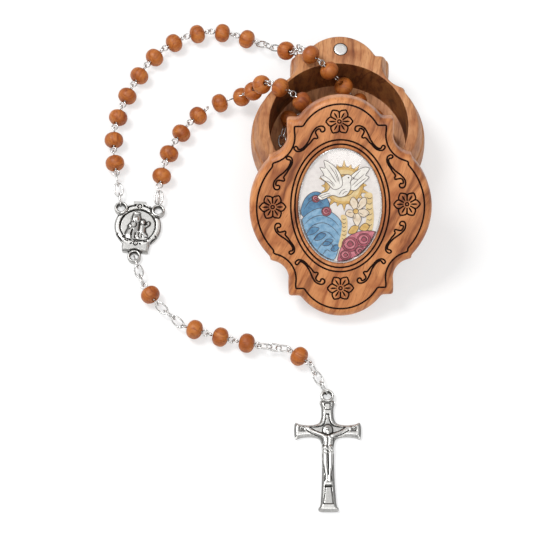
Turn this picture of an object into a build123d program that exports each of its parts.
"""Rosary box of olive wood: scalloped base, leaning lid with an oval picture, and its rosary.

Frame: millimetres, +Z up, origin on the table under the middle of the base, -Y to the front.
"""

from math import cos, hypot, radians, sin
import os

from build123d import *

os.makedirs("parts", exist_ok=True)

# ---------------------------------------------------------------- box sizes
lid_half_width = 27.75
lid_half_length = 34.5
lid_thickness = 6.5
lid_tilt = 42.0  # degrees between the leaning lid and the table
lid_turn = 0.9  # degrees about the upright axis, so that the lower edge stays level
lid_edge_round = 1.6
lid_edge_knee = 0.4  # share of the rounding that is left at its middle
lid_back_round = 0.7
lean_gap = 0.3  # between the lid and the rim it leans on
table_gap = 0.1  # under the lid's lower edge

base_height = 20.0
base_turn = -2.0  # degrees about the upright axis
rim_inset = 2.9  # how far the rim stands inside the lid's outline
shoulder_inset = 1.3
shoulder_share = 0.78  # of the base's height
belly_inset = 0.3
belly_share = 0.45
ankle_inset = 1.05
ankle_share = 0.12
foot_inset = 2.6
cavity_radius = 21.7
floor_thickness = 5.5

lobe_radius = 15.0  # the round ends
side_radius = 22.0  # the round sides
ear_half_width = 16.1
ear_step = 6.7  # from the tip of a lobe back to the ear's flat top
ear_corner_radius = 1.2
ear_corner_shrink = 0.15  # how much tighter the corner gets per millimetre drawn in
ear_root_radius = 1.4
cusp_half_width = 21.6
bite_radius = 6.0
bite_step = 12.1  # from the tip of a lobe back to the bite's middle
bite_overcut = 0.15

magnet_radius = 2.0
magnet_thickness = 2.0
magnet_clearance = 0.05
magnet_step = 4.7  # from the tip of the rim's lobe to a magnet's middle

picture_half_width = 12.75
picture_half_length = 18.1
picture_recess = 1.0
picture_clearance = 0.12
picture_plate_thickness = 0.6
dome_height = 1.3
dome_shoulder = 0.7  # how high the dome's steep edge goes
dome_shoulder_inset = 0.3
dome_crown_inset = 3.0

# ------------------------------------------------------------- rosary sizes
bead_radius = 3.0
bead_length = 4.6
bead_end_radius = 1.6
bead_barrel_length = 2.2
bead_side_count = 8
bore_radius = 0.8
wire = 0.4
shank = 0.32  # square, through the bead
loop_radius = 1.18  # outer, of the eye at each end of a pin
loop_gap = 0.05  # between a bead and the eye
loop_play = 0.28  # between two eyes that pull on each other
loop_squash = 0.1  # how much narrower than high an eye's hole is, each side
link_length = 4.9
link_width = 3.0
link_shoulder = 1.1
chain_link_count = 3
link_play = 0.5
shortest_link_step = 2.2
bead_gap = 0.3  # between beads and what they lie on or beside

medal_place = (-63.0, -26.2)
medal_turn = -4.8
medal_thickness = 2.0
medal_radius = 7.3
medal_rim_radius = 6.8
medal_rim_step = 0.6  # how far the raised rim stands above the disc's edge
medal_field_radius = 5.65
medal_field_depth = 0.6
medal_tab_half_width = 2.0
medal_tab_top = 8.3
medal_bar_half_width = 4.6
medal_bar_top = 6.9
medal_foot_half_width = 4.0
medal_foot_taper = 1.2
medal_foot_end = 9.0
eye_radius = 2.1
eye_hole = 1.3
eye_thickness = 0.9
eye_lift = 1.45  # height of an eye's middle above the table
chain_lift = 1.75  # height at which a chain leaves an eye
medal_eye_x = 5.87
medal_eye_y = 5.83
medal_foot_eye_y = 10.6
eye_reach = 0.8  # from an eye's middle to where its first link pulls

cross_place = (-4.0, -94.9)
cross_top = 9.6
cross_thickness = 1.6
cross_bevel = 0.45
cross_eye_step = 1.6
cross_panel_depth = 0.35
figure_height = 0.8
head_radius = 1.35
head_height = 1.3
relief_taper = 25.0  # degrees that the sides of the figure lean in
plate_width = 2.5
plate_length = 1.7
plate_y = 7.2
step_width = 2.2
step_length = 0.9
step_y = -17.0
step_height = 0.5

# Right halves of the cross's outline, its hollowed panels and the figure, from the top down.
cross_outline = [
    (2.1, cross_top), (1.8, 6.2), (2.1, 3.2), (3.3, 2.1), (5.2, 1.75), (7.8, 1.9), (9.7, 2.5),
    (10.1, 0), (9.7, -2.5), (7.8, -1.9), (5.2, -1.75), (3.3, -2.1), (2.1, -3.2), (1.8, -6.2),
    (1.8, -12.0), (2.0, -18.5), (2.4, -23.6), (3.0, -24.7), (2.8, -25.6),
]
head_panel = [(0.3, 5.2), (0.7, 3.4), (1.4, 2.0), (2.8, 1.2), (5.8, 1.0), (3.0, -0.8), (1.4, -1.5)]
foot_panel = [(0.95, -17.8), (1.35, -23.4)]
figure_outline = [
    (0.5, -0.9), (2.2, -1.0), (4.2, -0.2), (5.9, 0.7), (6.5, 0.5), (6.2, 0.0), (4.4, -1.1),
    (2.6, -1.9), (1.7, -2.6), (1.5, -3.6), (1.15, -4.9), (1.65, -5.6), (1.7, -7.6), (1.45, -10.5),
    (0.9, -13.2), (0.8, -14.6), (0.95, -15.8), (0.6, -16.6),
]

# Middles of the beads that show, hand-placed: x, y, and the height of the bead's underside as a
# share of the base's height. Each strand starts at the medal.
left_strand = [
    (-70.7, -4.4, 0.005), (-71.8, 3.5, 0), (-70.5, 11.7, 0), (-67.1, 20.0, 0), (-63.6, 27.8, 0),
    (-58.2, 35.5, 0), (-51.3, 41.0, 0), (-43.9, 43.6, 0), (-36.5, 43.7, 0), (-28.8, 40.5, 0),
    (-15.4, 30.6, 0.46), (-7.6, 21.4, 1.16), (-1.4, 17.0, 0.94), (2.4, 16.0, 0.56),
]
right_strand = [
    (-55.8, -10.6, 0), (-54.5, -2.4, 0.003), (-50.4, 4.9, 0), (-45.6, 12.0, 0), (-38.3, 17.0, 0),
    (-31.6, 18.4, 0.04), (-27.4, 15.8, 0.34), (-25.6, 15.2, 0.8), (-18.6, 11.0, 1.2), (-11.0, 6.7, 0.93),
]
pendant = [
    (-57.9, -51.9, 0.01), (-44.1, -62.7, 0), (-35.9, -65.4, 0), (-27.6, -67.2, 0), (-12.5, -71.4, 0.005),
]

# The hidden coil in the cavity, clockwise from above: degrees turned, radius, layer of beads.
# It follows the wall on the floor, winds in, crosses the middle and winds out one layer higher.
coil_start_angle = 78  # degrees from the X axis
coil_drift = 3.0  # how far to the front the second layer lies
coil_knots = [
    (15, 14.4, 0), (75, 15.4, 0), (115, 17.6, 0), (300, 17.6, 0), (362, 8.6, 0), (420, 8.8, 0),
    (475, 11.2, 0), (600, 11.0, 0), (630, 9.6, 0), (655, 7.4, 0), (680, 4.8, 0.12),
    (710, 2.8, 0.35), (790, 4.4, 0.8), (835, 8.6, 1), (1075, 8.6, 1), (1178, 15.0, 1),
    (1285, 15.0, 1), (1330, 12.0, 2.05), (1375, 8.2, 2.1),
]
coil_step_angle = 5  # degrees between points of the coil

# ----------------------------------------------------------- derived frames
lobe_middle = lid_half_length - lobe_radius
side_middle = lid_half_width - side_radius
base_plane = Plane.XY.rotated((0, 0, base_turn))
rim_front = -(lobe_middle * cos(radians(base_turn)) + lobe_radius - rim_inset)
lid_rise = sin(radians(lid_tilt))
lid_run = cos(radians(lid_tilt))
lid_middle_z = table_gap + (lid_half_length - lid_back_round) * lid_rise
lid_middle_y = rim_front - ((base_height - lid_middle_z) * lid_run + lean_gap) / lid_rise
lid_back = Plane(
    origin=(0, lid_middle_y, lid_middle_z), x_dir=(1, 0, 0), z_dir=(0, -lid_rise, lid_run)
).rotated((0, 0, lid_turn))
magnet_y = lid_half_length - rim_inset - magnet_step
tiny = 0.01


# ------------------------------------------------------------ the box itself
def box_section(plane, inset):
    """The scalloped outline on a plane, drawn in by the inset."""
    ear_x = ear_half_width - inset
    corner = ear_corner_radius - ear_corner_shrink * inset
    ear_y = lid_half_length - ear_step - inset
    bite_y = lid_half_length - bite_step
    bite_x = ear_half_width + bite_radius - bite_overcut
    with BuildSketch(plane) as section:
        with Locations((0, lobe_middle), (0, -lobe_middle)):
            Circle(lobe_radius - inset)
        with Locations((side_middle, 0), (-side_middle, 0)):
            Circle(side_radius - inset)
        Rectangle(2 * ear_x, 2 * ear_y)
        Rectangle(2 * cusp_half_width - inset, 2 * bite_y)
        with Locations((bite_x, bite_y), (-bite_x, bite_y), (bite_x, -bite_y), (-bite_x, -bite_y)):
            Circle(bite_radius + inset, mode=Mode.SUBTRACT)
        tops = section.vertices().filter_by(lambda v: abs(abs(v.Y) - ear_y) < tiny)
        fillet(tops.filter_by(lambda v: abs(v.X) > ear_x - tiny), corner)
        tops = section.vertices().filter_by(lambda v: abs(abs(v.Y) - ear_y) < tiny)
        fillet(tops.filter_by(lambda v: abs(v.X) < ear_x - corner - tiny), ear_root_radius)
    return section.sketch


def walls_between(plane, levels):
    """Sections of the outline at (height, inset) levels above a plane."""
    return [box_section(plane.offset(height), inset) for height, inset in levels]


with BuildPart() as base_body:
    loft(
        walls_between(
            base_plane,
            [
                (0, foot_inset),
                (base_height * ankle_share, ankle_inset),
                (base_height * belly_share, belly_inset),
                (base_height * shoulder_share, shoulder_inset),
                (base_height, rim_inset),
            ],
        ),
        ruled=True,
    )
    with BuildSketch(base_plane.offset(base_height)):
        Circle(cavity_radius)
    extrude(amount=floor_thickness - base_height, mode=Mode.SUBTRACT)
    with BuildSketch(base_plane.offset(base_height)):
        with Locations((0, magnet_y), (0, -magnet_y)):
            Circle(magnet_radius + magnet_clearance)
    extrude(amount=-magnet_thickness, mode=Mode.SUBTRACT)

with BuildPart() as base_magnets:
    with BuildSketch(base_plane.offset(base_height)):
        with Locations((0, magnet_y), (0, -magnet_y)):
            Circle(magnet_radius)
    extrude(amount=-magnet_thickness)

with BuildPart() as lid_panel:
    loft(
        walls_between(
            lid_back,
            [
                (0, lid_back_round),
                (lid_back_round, 0),
                (lid_thickness - lid_edge_round, 0),
                (lid_thickness - lid_edge_round * lid_edge_knee, lid_edge_round * lid_edge_knee),
                (lid_thickness, lid_edge_round),
            ],
        ),
        ruled=True,
    )
    with BuildSketch(lid_back.offset(lid_thickness)):
        Ellipse(picture_half_width + picture_clearance, picture_half_length + picture_clearance)
    extrude(amount=-picture_recess, mode=Mode.SUBTRACT)
    with BuildSketch(lid_back):
        with Locations((0, magnet_y), (0, -magnet_y)):
            Circle(magnet_radius + magnet_clearance)
    extrude(amount=magnet_thickness, mode=Mode.SUBTRACT)

with BuildPart() as lid_magnets:
    with BuildSketch(lid_back):
        with Locations((0, magnet_y), (0, -magnet_y)):
            Circle(magnet_radius)
    extrude(amount=magnet_thickness)

picture_seat = lid_back.offset(lid_thickness - picture_recess)
with BuildPart() as picture_plate:
    with BuildSketch(picture_seat):
        Ellipse(picture_half_width, picture_half_length)
    extrude(amount=picture_plate_thickness)

with BuildPart() as picture_dome:
    for height, inset in ((0, 0), (dome_shoulder, dome_shoulder_inset), (dome_height, dome_crown_inset)):
        with BuildSketch(picture_seat.offset(picture_plate_thickness + height)):
            Ellipse(picture_half_width - inset, picture_half_length - inset)
    loft(ruled=True)


# ------------------------------------------------- pieces that the rosary repeats
loop_hole = loop_radius - wire
loop_reach = bead_length / 2 + loop_gap + loop_radius
bead_reach = loop_reach + loop_radius - wire - loop_play / 2
link_tip = wire * hypot(link_shoulder, link_width / 2) / (link_width / 2)
link_reach = (link_length - link_play) / 2 - link_tip
bead_step = 2 * bead_reach
link_step = 2 * link_reach
layer_step = 2 * bead_radius + bead_gap
quarter_turn = 90.0
pendant_joint_count = 18

with BuildPart() as bead:
    with BuildSketch(Plane.YZ.offset(-bead_length / 2)):
        RegularPolygon(bead_radius, bead_side_count)
    extrude(amount=bead_length)
    taper_across = (bead_radius - bead_end_radius) * cos(radians(180 / bead_side_count))
    taper_along = (bead_length - bead_barrel_length) / 2
    for end in (bead.faces().sort_by(Axis.X)[0], bead.faces().sort_by(Axis.X)[-1]):
        chamfer(end.edges(), length=taper_across, length2=taper_along, reference=end)
    with BuildSketch(Plane.YZ.offset(-bead_length)):
        RegularPolygon(bore_radius, 4)
    extrude(amount=2 * bead_length, mode=Mode.SUBTRACT)

with BuildPart() as eye_pin:
    for plane, side in ((Plane.XZ, -1), (Plane.XY, 1)):
        with BuildSketch(plane):
            with Locations((side * loop_reach, 0)):
                RegularPolygon(loop_radius, 6, major_radius=False, rotation=30)
                Rectangle(2 * loop_hole, 2 * (loop_hole - loop_squash), mode=Mode.SUBTRACT)
        extrude(amount=wire / 2, both=True)
    Box(2 * (loop_reach - loop_radius) + wire, shank, shank)

with BuildPart() as chain_link:
    with BuildSketch(Plane.XY):
        with BuildLine():
            Polyline(
                (-link_length / 2, 0),
                (-link_length / 2 + link_shoulder, link_width / 2),
                (link_length / 2 - link_shoulder, link_width / 2),
                (link_length / 2, 0),
                (link_length / 2 - link_shoulder, -link_width / 2),
                (-link_length / 2 + link_shoulder, -link_width / 2),
                close=True,
            )
        make_face()
        offset(amount=-wire, kind=Kind.INTERSECTION, mode=Mode.SUBTRACT)
    extrude(amount=wire / 2, both=True)


# --------------------------------------------------------- laying the rosary out
def place(spot):
    """Middle of a bead from its hand-placed x, y and share of the base's height."""
    x, y, share = spot
    return Vector(x, y, bead_radius + share * base_height)


def medal_eye(x, y):
    """Middle of an eye of the medal, at the height where its chain leaves."""
    turn = radians(medal_turn)
    return Vector(
        medal_place[0] + x * cos(turn) - y * sin(turn),
        medal_place[1] + x * sin(turn) + y * cos(turn),
        chain_lift,
    )


class Strand:
    """Rigid pieces laid end to end, each (its middle, its direction, its twist), by node."""

    def __init__(self, eye, target, turn):
        self.end = eye + (target - eye).normalized() * eye_reach
        self.turn = turn  # degrees between one eye or link and the next
        self.last_twist = 0
        self.pieces = {}

    def add(self, name, target, length):
        """Lay one piece from the strand's end towards the target."""
        direction = (target - self.end).normalized()
        middle = self.end + direction * (length / 2)
        self.last_twist += self.turn
        if "chain" not in name:
            self.last_twist -= quarter_turn
        self.pieces.setdefault(name, []).append((middle, direction, self.last_twist))
        self.end = self.end + direction * length

    def add_chain(self, name, target):
        """Lay one short chain towards the target, slack where it must be."""
        room = (target - self.end).length / chain_link_count
        for _ in range(chain_link_count):
            self.add(name, target, min(link_step, max(shortest_link_step, room)))

    def add_beads(self, name, joints):
        """Lay beads from joint to joint."""
        for joint in joints[1:]:
            self.add(name, joint, bead_step)


def bead_joints(spots, before, after):
    """Where the joints of a run of beads should fall, given what comes before and after it."""
    if len(spots) == 1:
        half = (after - before).normalized() * bead_reach
        return [spots[0] - half, spots[0] + half]
    first = spots[0] * 1.5 - spots[1] * 0.5
    last = spots[-1] * 1.5 - spots[-2] * 0.5
    return [first] + [(spot + following) / 2 for spot, following in zip(spots, spots[1:])] + [last]


def located(middle, direction, twist):
    """Location of a piece whose own X axis follows the direction."""
    upright = Vector(0, 0, 1)
    upright = upright - direction * upright.dot(direction)
    plane = Plane(origin=middle, x_dir=direction, z_dir=upright.normalized())
    return plane.location * Rotation(twist, 0, 0)


def coil_points():
    """Points along the hidden coil, from its outer end on the floor."""
    points = []
    for (turned, radius, layer), (next_turned, next_radius, next_layer) in zip(coil_knots, coil_knots[1:]):
        for degree in range(turned, next_turned, coil_step_angle):
            share = (degree - turned) / (next_turned - turned)
            angle = radians(coil_start_angle - degree)
            reach = radius + (next_radius - radius) * share
            level = layer + (next_layer - layer) * share
            x = reach * cos(angle)
            y = reach * sin(angle) - level * coil_drift
            points.append(Vector(x, y, floor_thickness + bead_radius + bead_gap / 2 + level * layer_step))
    return points


def chord_walk(path, lengths):
    """Joints along a path, each a straight length from the one before, until the path ends."""
    joints = [path[0]]
    index = 0
    for length in lengths:
        here = joints[-1]
        while index < len(path) - 1 and (path[index + 1] - here).length < length:
            index += 1
        if index == len(path) - 1:
            return joints
        near, far = 0.0, 1.0
        step = path[index + 1] - path[index]
        for _ in range(24):
            middle = (near + far) / 2
            if (path[index] + step * middle - here).length < length:
                near = middle
            else:
                far = middle
        joints.append(path[index] + step * far)
    return joints


left_places = [place(spot) for spot in left_strand]
right_places = [place(spot) for spot in right_strand]
pendant_places = [place(spot) for spot in pendant]

decade_joints = bead_joints(left_places[:10], None, None)
single_joints = bead_joints(left_places[10:11], left_places[9], left_places[11])
next_joints = bead_joints(left_places[11:], None, None)
left_side = Strand(medal_eye(-medal_eye_x, medal_eye_y), decade_joints[0], quarter_turn)
for name, joints in (("decade_1", decade_joints), ("single", single_joints), ("decade_2", next_joints)):
    left_side.add_chain("loop_chains", joints[0])
    left_side.add_beads(name, joints)

decade_joints = bead_joints(right_places, None, None)
right_side = Strand(medal_eye(medal_eye_x, medal_eye_y), decade_joints[0], quarter_turn)
right_side.add_chain("loop_chains", decade_joints[0])
right_side.add_beads("decade_5", decade_joints)

# The rest of the loop lies in the coil; its pieces are drawn together until it just fits.
hidden_run = ["decade_2"] * 7
for decade in ("decade_3", "decade_4"):
    hidden_run += ["loop_chains"] * chain_link_count + ["single"]
    hidden_run += ["loop_chains"] * chain_link_count + [decade] * 10
hidden_run += ["loop_chains"] * chain_link_count + ["single"] + ["loop_chains"] * chain_link_count
full_lengths = [link_step if name == "loop_chains" else bead_step for name in hidden_run]
path = [left_side.end] + coil_points() + [right_side.end]
loose, tight = 0.7, 1.4
for _ in range(30):
    share = (loose + tight) / 2
    if len(chord_walk(path, [length * share for length in full_lengths])) > len(full_lengths):
        loose = share
    else:
        tight = share
hidden_joints = chord_walk(path, [length * loose for length in full_lengths])
left_side.turn = quarter_turn * (1 + 1 / (len(hidden_run) + 1))
for name, stop in zip(hidden_run, hidden_joints[1:]):
    left_side.add(name, stop, (stop - left_side.end).length)

laid = dict(left_side.pieces)
for name, pieces in right_side.pieces.items():
    laid[name] = laid.get(name, []) + pieces

cross_eye = Vector(cross_place[0], cross_place[1] + cross_top + cross_eye_step, chain_lift)
foot_eye = medal_eye(0, -medal_foot_eye_y)
pendant_runs = (
    bead_joints(pendant_places[:1], foot_eye, pendant_places[1]),
    bead_joints(pendant_places[1:4], None, None),
    bead_joints(pendant_places[4:], pendant_places[3], cross_eye),
)
pendant_turn = quarter_turn * (1 + 1 / pendant_joint_count)
pendant_side = Strand(foot_eye, pendant_runs[0][0], pendant_turn)
bead_number = 1
for chain_number, joints in enumerate(pendant_runs, 1):
    pendant_side.add_chain(f"pendant_chain_{chain_number}", joints[0])
    for joint in joints[1:]:
        pendant_side.add(f"pendant_{bead_number}", joint, bead_step)
        bead_number += 1
pull = (cross_eye - pendant_side.end).normalized() * eye_reach
pendant_side.add_chain("pendant_chain_4", cross_eye - pull)


# --------------------------------------------------------------- rosary nodes
def copies(name, piece, places):
    """Write a node of like pieces, one at each place."""
    with BuildPart() as group:
        with Locations(*[located(*spot) for spot in places]):
            add(piece.part)
    group.part.label = name
    export_step(group.part, f"parts/{name}.step")


for name, places in laid.items():
    if name == "loop_chains":
        copies(name, chain_link, places)
    else:
        copies(f"{name}_beads", bead, places)
        copies(f"{name}_pins", eye_pin, places)
for name, places in pendant_side.pieces.items():
    if "chain" in name:
        copies(name, chain_link, places)
    else:
        copies(f"{name}_bead", bead, places)
        copies(f"{name}_pin", eye_pin, places)

medal_plane = Plane((medal_place[0], medal_place[1], 0)).rotated((0, 0, medal_turn))
with BuildPart() as centre_medal:
    with BuildSketch(medal_plane):
        Circle(medal_radius)
    extrude(amount=medal_thickness - medal_rim_step)
    with BuildSketch(medal_plane):
        Circle(medal_rim_radius)
        with Locations((0, medal_bar_top / 2)):
            Rectangle(2 * medal_bar_half_width, medal_bar_top)
        with Locations((0, medal_tab_top / 2)):
            Rectangle(2 * medal_tab_half_width, medal_tab_top)
        with BuildLine():
            Polyline(
                (-medal_foot_half_width - medal_foot_taper, 0),
                (-medal_foot_half_width, -medal_foot_end),
                (medal_foot_half_width, -medal_foot_end),
                (medal_foot_half_width + medal_foot_taper, 0),
                close=True,
            )
        make_face()
    extrude(amount=medal_thickness)
    with BuildSketch(medal_plane.offset(medal_thickness)):
        Circle(medal_field_radius)
    extrude(amount=-medal_field_depth, mode=Mode.SUBTRACT)
    with BuildSketch(medal_plane.offset(eye_lift - eye_thickness / 2)):
        with Locations((-medal_eye_x, medal_eye_y), (medal_eye_x, medal_eye_y), (0, -medal_foot_eye_y)):
            Circle(eye_radius)
    extrude(amount=eye_thickness)
    with BuildSketch(medal_plane):
        with Locations((-medal_eye_x, medal_eye_y), (medal_eye_x, medal_eye_y), (0, -medal_foot_eye_y)):
            Circle(eye_hole)
    extrude(amount=medal_thickness, mode=Mode.SUBTRACT)

cross_plane = Plane((cross_place[0], cross_place[1], 0))
cross_face = cross_plane.offset(cross_thickness)


def both_halves(plane, right_half):
    """A closed outline on a plane, from its right half and that half's mirror image."""
    with BuildSketch(plane) as section:
        with BuildLine():
            Polyline(*right_half, *[(-x, y) for x, y in reversed(right_half)], close=True)
        make_face()
    return section.sketch


with BuildPart() as crucifix_cross:
    add(both_halves(cross_plane, cross_outline))
    extrude(amount=cross_thickness)
    chamfer(crucifix_cross.faces().sort_by(Axis.Z)[-1].edges(), cross_bevel)
    for panel in (head_panel, foot_panel):
        add(both_halves(cross_face, panel))
    extrude(amount=-cross_panel_depth, mode=Mode.SUBTRACT)
    add(both_halves(cross_face.offset(-cross_panel_depth), figure_outline))
    extrude(amount=figure_height + cross_panel_depth, taper=relief_taper)
    with BuildSketch(cross_face.offset(-cross_panel_depth)):
        RegularPolygon(head_radius, 8)
    extrude(amount=head_height + cross_panel_depth, taper=relief_taper / 2)
    with BuildSketch(cross_face):
        with Locations((0, plate_y)):
            Rectangle(plate_width, plate_length)
    extrude(amount=cross_panel_depth)
    with BuildSketch(cross_face.offset(-cross_panel_depth)):
        with Locations((0, step_y)):
            Rectangle(step_width, step_length)
    extrude(amount=step_height + cross_panel_depth)
    with BuildSketch(cross_plane.offset(eye_lift - eye_thickness / 2)):
        with Locations((0, cross_top + cross_eye_step)):
            Circle(eye_radius)
    extrude(amount=eye_thickness)
    with BuildSketch(cross_plane):
        with Locations((0, cross_top + cross_eye_step)):
            Circle(eye_hole)
    extrude(amount=eye_lift + eye_thickness, mode=Mode.SUBTRACT)

for name, piece in (
    ("base_body", base_body),
    ("base_magnets", base_magnets),
    ("lid_panel", lid_panel),
    ("lid_magnets", lid_magnets),
    ("picture_plate", picture_plate),
    ("picture_dome", picture_dome),
    ("centre_medal", centre_medal),
    ("crucifix_cross", crucifix_cross),
):
    piece.part.label = name
    export_step(piece.part, f"parts/{name}.step")
